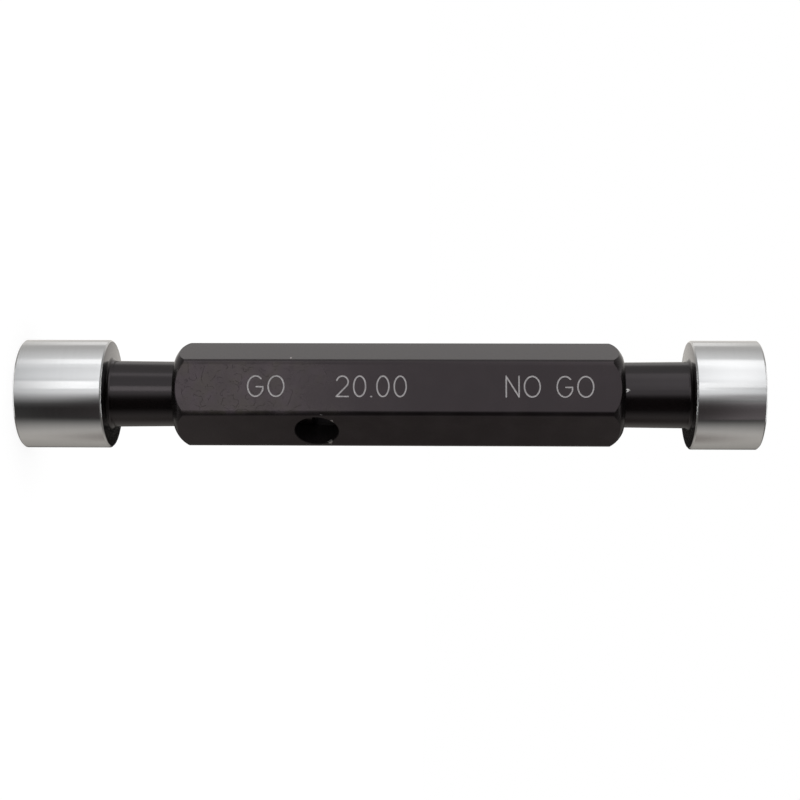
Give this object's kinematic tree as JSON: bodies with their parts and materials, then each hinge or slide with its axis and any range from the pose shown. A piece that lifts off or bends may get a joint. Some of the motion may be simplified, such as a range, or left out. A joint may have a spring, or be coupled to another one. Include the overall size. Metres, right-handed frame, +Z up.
{
  "type": "limit plug gauge",
  "caption": "Limit plug gauge: a long go plug and a short no-go plug on taper shanks in a black hexagonal handle, for testing bores of 20 mm H7.",
  "frame": {"origin": "on the gauge's axis, in the plane of the GO plug's end face, on which it stands", "axes": "+Z up the axis from the GO plug to the NO-GO plug; +X out of the middle of the handle's flat that holds the drift hole"},
  "size_m": [0.02, 0.02, 0.135],
  "materials": {
    "black_oxide_steel": "black oxide on steel, satin",
    "gauge_steel": "hardened gauge steel, ground and lapped on the plugs"
  },
  "bodies": {
    "root": {"handle": "black_oxide_steel", "go_member": "gauge_steel", "no_go_member": "gauge_steel"}
  },
  "joints": []
}
